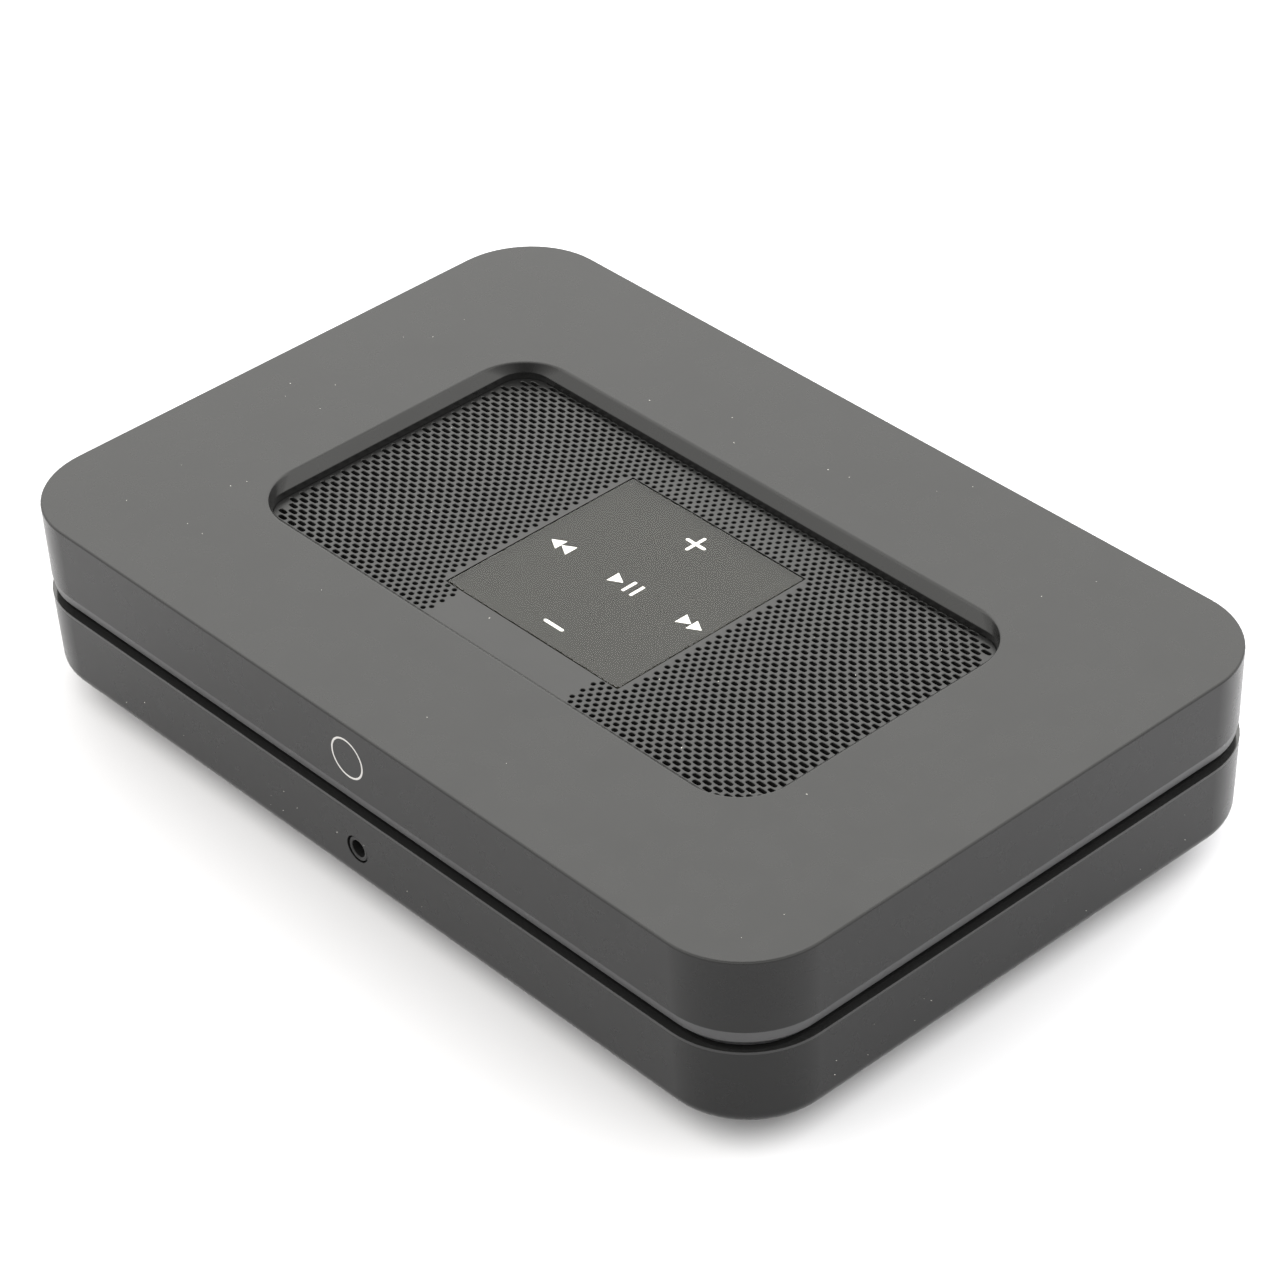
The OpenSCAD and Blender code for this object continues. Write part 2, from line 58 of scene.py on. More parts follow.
# upper shell
DRAFT = 0.4                # how far the walls lean in above the undercut
EDGE_R = 0.5               # rounding of the top's outer edge
UNDERCUT_Z = 29.2          # top of the slanted undercut
LIP_Z = 25.2               # the shell's lower edge
LIP_INSET = 2.4
LIP_R = 15.0
WALL = 2.8                 # thickness of the top and of the walls
SHELF_INSET = 5.2          # inner edge of the shell's thick foot

# lower shell and the frame in the waist
RIM_Z = 24.05              # top of the lower shell
LEDGE_Z = 24.65            # top of the frame's visible ledge
LOW_DRAFT = 0.7            # how far the lower walls lean in at the bottom
LOW_WALL = 3.3
BELLY_Z = 6.0              # the case's underside
BELLY_R = 3.0              # rounding of its bottom edge
TUB_Z = 2.0                # flat bottom of the tub that stands on the sole
TUB_HALF_W = 92.0
TUB_HALF_D = 55.0
TUB_R = 12.0
TUB_WALL = 2.2
FRAME_INSET = 0.15
FRAME_FOOT = 8.0           # inner edge of the frame's flange
FRAME_WEB = (5.5, 7.3)     # its upright web, between these insets
BAY = ((-95, 60, 8.8), (95, 80, 23.5))    # the cut for the sockets at the back
BAY_R = 1.2
SCREW_X = 97.0
SCREW_Y = 56.5
SCREW_HOLE_R = 3.1

# recess in the top
RECESS_HALF_W = 73.6
RECESS_HALF_D = 38.8
RECESS_R = 13.0            # plan radius of its corners at the top
WELL_R = 6.75              # and at the foot of the slope
RECESS_SLOPE = 2.25        # width and height of the 45 degree slope
RIM_R = 1.2                # rounding where the top turns into the slope
RIM_GUARD = 14.0           # a ring this far out keeps the top flat
MESH_Z = 40.6              # floor of the recess

# plate and touch panel
DECK_Z = 42.2
PLATE_HALF_W = 71.2
PLATE_HALF_D = 36.4
PLATE_R = 6.6
PLATE_DEPTH = 1.2
OPENING_HALF = 25.51
PANEL_HALF = 25.25
PANEL_R = 0.7
PANEL_EDGE = 0.12
FILM_Z = 40.37             # top of the printed film under the clear cover
ICON_REACH = 19.3          # distance of the outer symbols from the middle
BAR_LENGTH = 5.6
BAR_WIDTH = 0.8
ARROW_STEP = 3.05

# front
RING_Z = 37.5
RING_OUTER = 4.70
RING_INNER = 4.26
PHONES_X = 0.2
PHONES_Z = 14.9
PHONES_HOLE_R = 3.05

# ---- sizes of the perforation, in millimetres ----

ROW_PITCH = 1.3806
ROWS_EACH_WAY = 26
HOLE_PITCH = 2.09
EVEN_HOLES = 15            # holes from the middle that are evenly spaced
STRETCH = 0.0373           # growth of the spacing beyond them
HOLES_EACH_WAY = 31        # tried from the middle; those that don't fit are left out
HOLE_HEIGHT = 0.98
HOLE_DEPTH = 1.0
HOLE_ROUND = 0.1
WEB_INNER = 1.1            # bar between two holes near the middle
WEB_OUTER = 0.83           # and near the ends
WEB_TURN = (18.0, 10.0)    # where it starts to narrow, and over what length
BLANK_HALF_W = 19.3        # half width of the plain patch at the front
HOLE_MARGIN = 0.12         # least metal between a hole and the patch or the panel
EDGE_MARGIN = 0.25         # and between a hole and the plate's edge
CELL_SLACK = 0.75          # how far a hole's cell may reach past the patch's edge

# ---- dust, in millimetres ----

DUST_SEED = 7
DUST_ON_TOP = 45
DUST_ON_SIDES = 14
DUST_SIZE = (0.04, 0.09)
DUST_STRETCH = (1.0, 2.6)

# ---- light ----

# (height on the studio's wall, brightness) from the horizon to overhead
SKY_STOPS = ((0.0, 0.5), (0.30, 0.72), (0.53, 0.86), (0.70, 1.55), (1.0, 0.5))
SKY_TINT = (1.0, 0.995, 0.965)
SKY_LEVEL = 3.2
SKY_FRONT = 0.7            # share of the sky's level left at the front right
FRONT_RIGHT = (0.75, -0.66, 0.0)
FLOOR_COLOUR = (0.50, 0.50, 0.515, 1.0)

# ---- camera, in degrees and millimetres ----

CAMERA_AZIMUTH = 48.814
CAMERA_ELEVATION = 36.62
CAMERA_ROLL = -2.51
CAMERA_DISTANCE = 909.257
CAMERA_TARGET = (-5.589, 8.074, 20.0)
CAMERA_LENS = 124.975
CAMERA_SENSOR = 36.0


# ---- mesh helpers ----

def outline(half_w, half_d, radius, z):
    """Corner-rounded rectangle as a loop of points, anticlockwise, always the same count."""
    loop = []
    corners = ((1, 1, 0), (-1, 1, 90), (-1, -1, 180), (1, -1, 270))
    for sx, sy, start in corners:
        cx = sx * (half_w - radius)
        cy = sy * (half_d - radius)
        for i in range(CORNER_STEPS + 1):
            a = math.radians(start + 90.0 * i / CORNER_STEPS)
            loop.append((cx + radius * math.cos(a), cy + radius * math.sin(a), z))
    return loop


def case_ring(inset, z, radius=None):
    """The case outline set in by inset at height z."""
    if radius is None:
        radius = CASE_R - inset
    return outline(CASE_HALF_W - inset, CASE_HALF_D - inset, radius, z)


def recess_ring(grow, z):
    """The recess outline grown by grow at height z; its corners tighten down the slope."""
    if grow >= 0:
        radius = RECESS_R + grow
    elif grow <= -RECESS_SLOPE:
        radius = WELL_R + grow + RECESS_SLOPE
    else:
        radius = RECESS_R + grow * (RECESS_R - WELL_R) / RECESS_SLOPE
    return outline(RECESS_HALF_W + grow, RECESS_HALF_D + grow, radius, z)


def as_object(name, bm):
    """Turns a bmesh in millimetres into an object in metres."""
    bmesh.ops.recalc_face_normals(bm, faces=bm.faces)
    bmesh.ops.scale(bm, vec=(MM, MM, MM), verts=bm.verts)
    mesh = bpy.data.meshes.new(name)
    bm.to_mesh(mesh)
    bm.free()
    obj = bpy.data.objects.new(name, mesh)
    bpy.context.scene.collection.objects.link(obj)
    return obj


def add_loop(bm, points):
    """Adds a vertex for each point."""
    return [bm.verts.new(p) for p in points]


def bridge(bm, a, b):
    """Closed band of faces between two loops of equal length."""
    n = len(a)
    for i in range(n):
        j = (i + 1) % n
        bm.faces.new((a[i], a[j], b[j], b[i]))


def loft(name, rings, closed):
    """Skin over a list of equal loops: a closed ring of loops, or capped at both ends."""
    bm = bmesh.new()
    loops = [add_loop(bm, r) for r in rings]
    for a, b in zip(loops, loops[1:]):
        bridge(bm, a, b)
    if closed:
        bridge(bm, loops[-1], loops[0])
    else:
        bm.faces.new(loops[0])
        bm.faces.new(loops[-1])
    return as_object(name, bm)


def smooth(obj, angle=35.0):
    """Smooth shading, kept sharp over the angle, with flat faces left flat."""
    for polygon in obj.data.polygons:
        polygon.use_smooth = True
    obj.data.set_sharp_from_angle(angle=math.radians(angle))
    weighted = obj.modifiers.new("weighted", "WEIGHTED_NORMAL")
    weighted.keep_sharp = True
    return obj


def cut(obj, cutter):
    """Cuts the closed cutter out of obj, and removes the cutter."""
    modifier = obj.modifiers.new("cut", "BOOLEAN")
    modifier.object = cutter
    modifier.solver = "EXACT"
    modifier.operation = "DIFFERENCE"
    depsgraph = bpy.context.evaluated_depsgraph_get()
    mesh = bpy.data.meshes.new_from_object(obj.evaluated_get(depsgraph))
    obj.modifiers.clear()
    obj.data = mesh
    bpy.data.objects.remove(cutter, do_unlink=True)


def tube(name, radius, start, end):
    """A round bar between two points."""
    bm = bmesh.new()
    a = Vector(start)
    b = Vector(end)
    turn = (b - a).to_track_quat("Z", "Y").to_matrix().to_4x4()
    placing = Matrix.Translation((a + b) / 2) @ turn
    bmesh.ops.create_cone(bm, cap_ends=True, segments=48, radius1=radius, radius2=radius,
                          depth=(b - a).length, matrix=placing)
    return as_object(name, bm)


def round_box(name, low, high, radius):
    """A box between two corners with its edges rounded."""
    bm = bmesh.new()
    bmesh.ops.create_cube(bm, size=1.0)
    for v in bm.verts:
        v.co = Vector([lo + (hi - lo) * (c + 0.5) for lo, hi, c in zip(low, high, v.co)])
    bmesh.ops.bevel(bm, geom=bm.edges, offset=radius, segments=4, affect="EDGES", profile=0.5)
    return as_object(name, bm)


def turned(name, profile, centre_x, centre_z, segments, closed):
    """Turns a profile of (radius, depth function of z) pairs round an axis along y."""
    bm = bmesh.new()
    loops = []
    for radius, depth in profile:
        points = []
        for i in range(segments):
            a = math.radians(360.0 / segments * i)
            z = centre_z + radius * math.sin(a)
            points.append((centre_x + radius * math.cos(a), depth(z), z))
        loops.append(add_loop(bm, points))
    for a, b in zip(loops, loops[1:]):
        bridge(bm, a, b)
    if closed:
        bridge(bm, loops[-1], loops[0])
    return as_object(name, bm)


def arc(centre_a, centre_b, radius, start, end, steps):
    """Points on an arc in a profile plane, as (a, b) pairs."""
    points = []
    for i in range(steps + 1):
        t = math.radians(start + (end - start) * i / steps)
        points.append((centre_a + radius * math.cos(t), centre_b + radius * math.sin(t)))
    return points


# ---- materials ----

def new_material(name):
    """A new node material, with its tree and its shader."""
    material = bpy.data.materials.new(name)
    material.use_nodes = True
    tree = material.node_tree
    shader = tree.nodes["Principled BSDF"]
    return material, tree, shader


def noise(tree, scale, detail, stretch=None):
    """Noise fixed to the piece, optionally stretched along its axes."""
    coords = tree.nodes.new("ShaderNodeTexCoord")
    texture = tree.nodes.new("ShaderNodeTexNoise")
    texture.inputs["Scale"].default_value = scale
    texture.inputs["Detail"].default_value = detail
    source = coords.outputs["Object"]
    if stretch:
        mapping = tree.nodes.new("ShaderNodeMapping")
        mapping.inputs["Scale"].default_value = stretch
        tree.links.new(source, mapping.inputs["Vector"])
        source = mapping.outputs["Vector"]
    tree.links.new(source, texture.inputs["Vector"])
    return texture


def ramp(tree, source, low, high):
    """Colour between two ends, driven by a value."""
    node = tree.nodes.new("ShaderNodeValToRGB")
    for element, position, colour in zip(node.color_ramp.elements, (0.3, 0.7), (low, high)):
        element.position = position
        element.color = (*colour, 1.0)
    tree.links.new(source, node.inputs["Fac"])
    return node


def uneven_gloss(tree, shader, texture, smooth_end, rough_end):
    """Roughness that follows a noise texture between two ends."""
    gloss = tree.nodes.new("ShaderNodeMapRange")
    gloss.inputs["To Min"].default_value = smooth_end
    gloss.inputs["To Max"].default_value = rough_end
    tree.links.new(texture.outputs["Fac"], gloss.inputs["Value"])
    tree.links.new(gloss.outputs["Result"], shader.inputs["Roughness"])


def grained(name, colour, roughness, spread=0.06, grain=2600.0, depth=0.00001,
            metallic=0.0, mottle=60.0, stretch=None, specular=0.5, bump=0.25):
    """A surface with slight cloudy colour, uneven roughness and a fine grain in relief."""
    material, tree, shader = new_material(name)
    cloud = noise(tree, mottle, 4.0, stretch)
    low = [c * (1.0 - spread) for c in colour]
    high = [c * (1.0 + spread) for c in colour]
    tint = ramp(tree, cloud.outputs["Fac"], low, high)
    tree.links.new(tint.outputs["Color"], shader.inputs["Base Color"])
    patch = noise(tree, mottle * 2.3, 3.0, stretch)
    uneven_gloss(tree, shader, patch, max(0.02, roughness - 0.05), min(1.0, roughness + 0.05))
    fine = noise(tree, grain, 2.0, stretch)
    relief = tree.nodes.new("ShaderNodeBump")
    relief.inputs["Strength"].default_value = bump
    relief.inputs["Distance"].default_value = depth
    tree.links.new(fine.outputs["Fac"], relief.inputs["Height"])
    tree.links.new(relief.outputs["Normal"], shader.inputs["Normal"])
    shader.inputs["Metallic"].default_value = metallic
    shader.inputs["Specular IOR Level"].default_value = specular
    return material


def clear_glass(name, colour, roughness):
    """A clear cover whose polish varies a little, as a handled surface does."""
    material, tree, shader = new_material(name)
    shader.inputs["Base Color"].default_value = (*colour, 1.0)
    shader.inputs["Transmission Weight"].default_value = 1.0
    shader.inputs["IOR"].default_value = 1.29
    smear = noise(tree, 90.0, 4.0, (1.0, 0.35, 1.0))
    uneven_gloss(tree, shader, smear, roughness - 0.03, roughness + 0.04)
    return material


def make_materials():
    """All finishes by name, with a painted-sheen and a painted-shade copy of the shell's; most
    names are also the CAD's material slots.
    """
    metal = {"metallic": 1.0, "spread": 0.04}
    return {
        "shell_grey": grained("shell_grey", (0.008, 0.008, 0.008), 0.28, specular=0.26),
        # a lighter, glossier copy of shell_grey for the slanted band under the top shell: painted
        # sheen standing in for the bright floor it reflects
        "undercut": grained("undercut", (0.02, 0.02, 0.021), 0.40, specular=0.70),
        # a darker copy of shell_grey for the lower shell: painted shade
        "shell_low_painted_shade": grained("shell_low_painted_shade", (0.007, 0.007, 0.007), 0.28, specular=0.26),
        "deck_grey": grained("deck_grey", (0.008, 0.008, 0.008), 0.32, specular=0.30),
        "panel_gloss": clear_glass("panel_gloss", (0.90, 0.89, 0.84), 0.035),
        "mask_print": grained("mask_print", (0.012, 0.012, 0.010), 0.55, specular=0.0),
        "icon_white": grained("icon_white", (0.70, 0.70, 0.68), 0.45, spread=0.02),
        "guide_grey": grained("guide_grey", (0.38, 0.37, 0.36), 0.40),
        "gloss_black": grained("gloss_black", (0.008, 0.008, 0.008), 0.16, bump=0.03),
        "matte_black": grained("matte_black", (0.022, 0.022, 0.023), 0.55),
        "dust_cloth": grained("dust_cloth", (0.006, 0.006, 0.006), 0.95, grain=1800.0,
                              depth=0.00006, specular=0.1),
        "foot_rubber": grained("foot_rubber", (0.020, 0.020, 0.021), 0.80, grain=1500.0),
        "board_green": grained("board_green", (0.020, 0.105, 0.050), 0.35, mottle=240.0),
        "board_brown": grained("board_brown", (0.330, 0.200, 0.080), 0.55, mottle=240.0),
        "chip_black": grained("chip_black", (0.020, 0.020, 0.020), 0.45),
        "bright_steel": grained("bright_steel", (0.62, 0.62, 0.61), 0.30, **metal),
        "nickel": grained("nickel", (0.58, 0.565, 0.54), 0.24, **metal),
        "contact_brass": grained("contact_brass", (0.80, 0.56, 0.20), 0.25, **metal),
        "sink_black": grained("sink_black", (0.030, 0.030, 0.032), 0.45, metallic=0.6),
        "sink_plain": grained("sink_plain", (0.60, 0.61, 0.62), 0.38, **metal),
        "ribbon_amber": grained("ribbon_amber", (0.42, 0.17, 0.025), 0.40, stretch=(20, 1, 1)),
        "tape_yellow": grained("tape_yellow", (0.68, 0.45, 0.04), 0.45),
        "sleeve_navy": grained("sleeve_navy", (0.012, 0.016, 0.045), 0.30),
        "lead_black": grained("lead_black", (0.015, 0.015, 0.015), 0.50),
        "lead_red": grained("lead_red", (0.40, 0.018, 0.012), 0.45),
        "sheet_clear": grained("sheet_clear", (0.62, 0.62, 0.56), 0.40),
        "ring_white": grained("ring_white", (0.78, 0.78, 0.76), 0.45),
        "ring_red": grained("ring_red", (0.45, 0.015, 0.012), 0.45),
        "ring_orange": grained("ring_orange", (0.62, 0.13, 0.010), 0.45),
        "insulator_ivory": grained("insulator_ivory", (0.74, 0.70, 0.58), 0.50),
        "sensor_red": grained("sensor_red", (0.030, 0.004, 0.006), 0.15, bump=0.02),
        "antenna_film": grained("antenna_film", (0.30, 0.16, 0.035), 0.40),
        "button_grey": grained("button_grey", (0.20, 0.205, 0.21), 0.45),
        "dust": grained("dust", (0.55, 0.54, 0.50), 0.90),
    }


def paint(obj, material):
    """Gives a piece one finish all over."""
    obj.data.materials.clear()
    obj.data.materials.append(material)


def paint_between(obj, material, low, high):
    """A second finish on the faces between two heights, in millimetres."""
    obj.data.materials.append(material)
    for polygon in obj.data.polygons:
        if low * MM < polygon.center.z < high * MM:
            polygon.material_index = 1


def place(obj, materials, slot, nodes=(), body="case", material=None):
    """Gives a piece its finish, its body and the CAD nodes it stands for."""
    paint(obj, materials[material or slot])
    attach(obj, body)
    if nodes:
        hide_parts(*nodes)


# ---- shells ----

def upper_shell():
    """From the lower lip up the outside, over the top, down the recess and back inside."""
    rings = [
        case_ring(SHELF_INSET, LIP_Z, LIP_R - 2.0),
        case_ring(LIP_INSET + 0.25, LIP_Z, LIP_R - 0.25),
        case_ring(LIP_INSET + 0.05, LIP_Z + 0.08, LIP_R - 0.05),
        case_ring(LIP_INSET - 0.10, LIP_Z + 0.28, LIP_R + 0.3),
        case_ring(DRAFT + 0.72, UNDERCUT_Z - 2.6, CASE_R - 1.9),
        case_ring(DRAFT + 0.05, UNDERCUT_Z - 0.10, CASE_R - DRAFT - 0.1),
        case_ring(DRAFT, UNDERCUT_Z + 0.25),
    ]
    for dx, dz in arc(EDGE_R, -EDGE_R, EDGE_R, 180, 90, 5):
        rings.append(case_ring(dx, CASE_H + dz))
    rings.append(recess_ring(RIM_GUARD, CASE_H))
    bend = RIM_R * math.tan(math.radians(22.5))
    for dx, dz in arc(bend, -RIM_R, RIM_R, 90, 135, 6):
        rings.append(recess_ring(dx, CASE_H + dz))
    rings += [
        recess_ring(0.1 - RECESS_SLOPE, CASE_H - RECESS_SLOPE + 0.1),
        recess_ring(0.02 - RECESS_SLOPE, CASE_H - RECESS_SLOPE - 0.02),
        recess_ring(-RECESS_SLOPE, CASE_H - RECESS_SLOPE - 0.1),
        recess_ring(-RECESS_SLOPE, MESH_Z),
        recess_ring(-4.0, MESH_Z),
        recess_ring(-4.0, MESH_Z - 2),
        outline(RECESS_HALF_W + 2, RECESS_HALF_D + 2, WELL_R + 4.25, MESH_Z - 2),
        outline(RECESS_HALF_W + 2, RECESS_HALF_D + 2, WELL_R + 4.25, CASE_H - WALL),
        case_ring(WALL, CASE_H - WALL),
        case_ring(WALL, UNDERCUT_Z + 0.6),
        case_ring(SHELF_INSET, UNDERCUT_Z + 0.6),
    ]
    return smooth(loft("upper_shell", rings, closed=True), angle=8.0)


def tub_ring(grow, z):
    """The outline of the tub under the lower shell, grown by grow at height z."""
    return outline(TUB_HALF_W + grow, TUB_HALF_D + grow, TUB_R + grow, z)


def lower_shell():
    """From the tub's bottom up the outside, over the rim and down inside; then the holes."""
    rings = [
        outline(60, 30, 8, TUB_Z),
        tub_ring(-0.5, TUB_Z),
        tub_ring(0, TUB_Z + 0.5),
        tub_ring(0, BELLY_Z - 0.4),
        tub_ring(0.4, BELLY_Z),
    ]
    for dx, dz in arc(BELLY_R, BELLY_R, BELLY_R, 270, 180, 9):
        rings.append(case_ring(LOW_DRAFT + dx, BELLY_Z + dz))
    rings += [
        case_ring(0.17, RIM_Z - 0.15),
        case_ring(0.25, RIM_Z),
        case_ring(LOW_WALL, RIM_Z),
        case_ring(LOW_WALL, BELLY_Z + 1.6),
        tub_ring(-TUB_WALL, BELLY_Z + 1.6),
        tub_ring(-TUB_WALL, TUB_Z + 2),
    ]
    shell = loft("lower_shell", rings, closed=False)
    cut(shell, round_box("bay_cutter", *BAY, BAY_R))
    phones_axis = [(PHONES_X, y, PHONES_Z) for y in (-80, -60)]
    cut(shell, tube("phones_cutter", PHONES_HOLE_R, *phones_axis))
    for x in (-SCREW_X, SCREW_X):
        for y in (-SCREW_Y, SCREW_Y):
            cut(shell, tube("screw_cutter", SCREW_HOLE_R, (x, y, 4), (x, y, 9)))
    return smooth(shell)


def waist_frame():
    """The glossy frame between the shells: a ledge nearly flush with them, and a web behind."""
    rings = [
        case_ring(FRAME_FOOT, RIM_Z),
        case_ring(FRAME_INSET, RIM_Z + 0.01),
        case_ring(FRAME_INSET, LEDGE_Z - 0.18),
        case_ring(FRAME_INSET + 0.05, LEDGE_Z - 0.06),
        case_ring(FRAME_INSET + 0.18, LEDGE_Z),
        case_ring(FRAME_WEB[0], LEDGE_Z),
        case_ring(FRAME_WEB[0], UNDERCUT_Z),
        case_ring(FRAME_WEB[1], UNDERCUT_Z),
        case_ring(FRAME_WEB[1], LEDGE_Z),
        case_ring(FRAME_FOOT, LEDGE_Z),
    ]
    return smooth(loft("waist_band", rings, closed=True))


# ---- deck ----

def hole_x(u):
    """Distance of the hole with this index from the middle; the spacing grows outwards."""
    beyond = max(0.0, abs(u) - EVEN_HOLES)
    return math.copysign(HOLE_PITCH * abs(u) + STRETCH * beyond * beyond, u)


def plate_edge(y):
    """Half width of the plate at this y, inside its rounded corners."""
    over = abs(y) - (PLATE_HALF_D - PLATE_R)
    if over <= 0:
        return PLATE_HALF_W
    return PLATE_HALF_W - PLATE_R + math.sqrt(max(0.0, PLATE_R ** 2 - over ** 2))


def stadium(cx, cy, w, h):
    """Twelve points round an oblong hole, starting at its right and going anticlockwise."""
    points = []
    reach = (w - h) / 2
    for i in range(12):
        a = math.radians(30 * i)
        side = 0.0 if i in (3, 9) else math.copysign(reach, math.cos(a))
        points.append((cx + side + h / 2 * math.cos(a), cy + h / 2 * math.sin(a)))
    return points


def cell_rim(x0, x1, cx, cy):
    """Twelve points round a hole's cell, in the same order as the hole's own."""
    y0 = cy - ROW_PITCH / 2
    y1 = cy + ROW_PITCH / 2
    up = cy + 0.4 * ROW_PITCH
    down = cy - 0.4 * ROW_PITCH
    return [(x1, cy), (x1, up), (x1, y1), (cx, y1), (x0, y1), (x0, up),
            (x0, cy), (x0, down), (x0, y0), (cx, y0), (x1, y0), (x1, down)]


def punched_cell(bm, x0, x1, cx, cy, w):
    """One cell of the plate: flat round the hole, a rounded rim and the hole's wall."""
    rim = add_loop(bm, [(x, y, DECK_Z) for x, y in cell_rim(x0, x1, cx, cy)])
    wide = stadium(cx, cy, w + 2 * HOLE_ROUND, HOLE_HEIGHT + 2 * HOLE_ROUND)
    edge = stadium(cx, cy, w, HOLE_HEIGHT)
    top = add_loop(bm, [(x, y, DECK_Z) for x, y in wide])
    turn = add_loop(bm, [(x, y, DECK_Z - HOLE_ROUND) for x, y in edge])
    low = add_loop(bm, [(x, y, DECK_Z - HOLE_DEPTH) for x, y in edge])
    bridge(bm, rim, top)
    bridge(bm, top, turn)
    bridge(bm, turn, low)


def web(x):
    """Width of the bar between two holes of a row; a little wider in the middle."""
    share = min(1.0, max(0.0, (abs(x) - WEB_TURN[0]) / WEB_TURN[1]))
    return WEB_INNER + (WEB_OUTER - WEB_INNER) * share


def flat_strip(bm, left, right, y0, y1):
    """A flat patch of the plate between two side lines, each a function of y."""
    steps = 3
    for i in range(steps):
        ya = y0 + (y1 - y0) * i / steps
        yb = y0 + (y1 - y0) * (i + 1) / steps
        corners = ((left(ya), ya), (right(ya), ya), (right(yb), yb), (left(yb), yb))
        bm.faces.new([bm.verts.new((x, y, DECK_Z)) for x, y in corners])


def row_start(y):
    """Where the holes of a row start: past the panel, past the plain patch or at the middle."""
    if abs(y) < OPENING_HALF:
        return OPENING_HALF
    if y < -OPENING_HALF:
        return BLANK_HALF_W
    return 0.0


def row_holes(y, shift):
    """(left, right, centre, width) of each hole's cell on the right half of a row."""
    cells = []
    start = row_start(y)
    top = abs(y) + HOLE_HEIGHT / 2
    for k in range(HOLES_EACH_WAY):
        u = k + shift
        x = hole_x(u)
        x1 = (hole_x(u + 1) + x) / 2
        if u == 0:
            x0 = -hole_x(0.5)
            clear = start == 0
        else:
            x0 = (hole_x(u - 1) + x) / 2
            clear = x0 >= start - CELL_SLACK
        w = x1 - x0 - web(x)
        if u > 0:
            inside = top < PLATE_HALF_D and x + w / 2 + EDGE_MARGIN < plate_edge(top)
            clear = clear and inside and x - w / 2 >= start + HOLE_MARGIN
            x0 = max(x0, start)
        if clear:
            cells.append((x0, min(x1, plate_edge(y) - 0.01), x, w))
    return cells, start


def deck_plate():
    """The perforated plate, row by row, with plain strips at the ends and round the panel."""
    bm = bmesh.new()
    for row in range(-ROWS_EACH_WAY, ROWS_EACH_WAY + 1):
        y = row * ROW_PITCH
        y0 = y - ROW_PITCH / 2
        y1 = y + ROW_PITCH / 2
        shift = 0.5 if (row + ROWS_EACH_WAY) % 2 else 0.0
        cells, start = row_holes(y, shift)
        for x0, x1, x, w in cells:
            punched_cell(bm, x0, x1, x, y, w)
            if x > 0:
                punched_cell(bm, -x1, -x0, -x, y, w)
        first = cells[0][0] if cells[0][2] > 0 else 0.0
        last = cells[-1][1]
        inner = OPENING_HALF if start == OPENING_HALF else 0.0
        for side in (-1, 1):
            flat_strip(bm, lambda t, s=side: s * last, lambda t, s=side: s * plate_edge(t), y0, y1)
            if first > start + 0.01 or start == BLANK_HALF_W:
                flat_strip(bm, lambda t, s=side: s * inner, lambda t, s=side: s * first, y0, y1)
    reach = (ROWS_EACH_WAY + 0.5) * ROW_PITCH
    for side in (-1, 1):
        flat_strip(bm, lambda t: -plate_edge(t), plate_edge, side * reach, side * PLATE_HALF_D)
    plate_skirt(bm)
    bmesh.ops.remove_doubles(bm, verts=bm.verts, dist=0.0005)
    return as_object("deck_plate", bm)


def plate_skirt(bm):
    """The plate's outer edge, and the edge of its square opening."""
    rims = (outline(PLATE_HALF_W, PLATE_HALF_D, PLATE_R, DECK_Z),
            outline(OPENING_HALF, OPENING_HALF, 0.1, DECK_Z))
    for rim in rims:
        top = add_loop(bm, rim)
        low = add_loop(bm, [(x, y, DECK_Z - PLATE_DEPTH) for x, y, z in rim])
        bridge(bm, top, low)


def touch_glass():
    """The clear cover, its underside sunk a hair into the printed film so the two are bonded."""
    rings = [outline(PANEL_HALF, PANEL_HALF, PANEL_R, FILM_Z + 0.01)]
    for dx, dz in arc(PANEL_EDGE, -PANEL_EDGE, PANEL_EDGE, 180, 90, 3):
        rings.append(outline(PANEL_HALF - dx, PANEL_HALF - dx, PANEL_R, DECK_Z + dz))
    return smooth(loft("touch_glass", rings, closed=False))


# ---- touch symbols ----

def prism(bm, points, z0, z1):
    """A flat figure standing from z0 to z1, open below."""
    top = add_loop(bm, [(x, y, z1) for x, y in points])
    low = add_loop(bm, [(x, y, z0) for x, y in points])
    bm.faces.new(top)
    bridge(bm, top, low)


def bar_points(cy, upright=False):
    """The outline of a round-ended bar of the plus or the minus, at this y."""
    reach = (BAR_LENGTH - BAR_WIDTH) / 2
    end_r = BAR_WIDTH / 2
    ends = arc(reach, 0, end_r, -90, 90, 8) + arc(-reach, 0, end_r, 90, 270, 8)
    if upright:
        ends = [(-b, a) for a, b in ends]
    return [(a, cy + b) for a, b in ends]


def soft_polygon(corners, radius):
    """The corners of a polygon, each turned into a short curve."""
    points = []
    n = len(corners)
    for i in range(n):
        here = Vector(corners[i])
        back = (Vector(corners[i - 1]) - here).normalized()
        on = (Vector(corners[(i + 1) % n]) - here).normalized()
        points.append(tuple(here + back * radius))
        for t in (0.25, 0.5, 0.75):
            a = here + back * radius * (1 - t)
            b = here + on * radius * t
            points.append(tuple((a + b) / 2))
        points.append(tuple(here + on * radius))
    return points


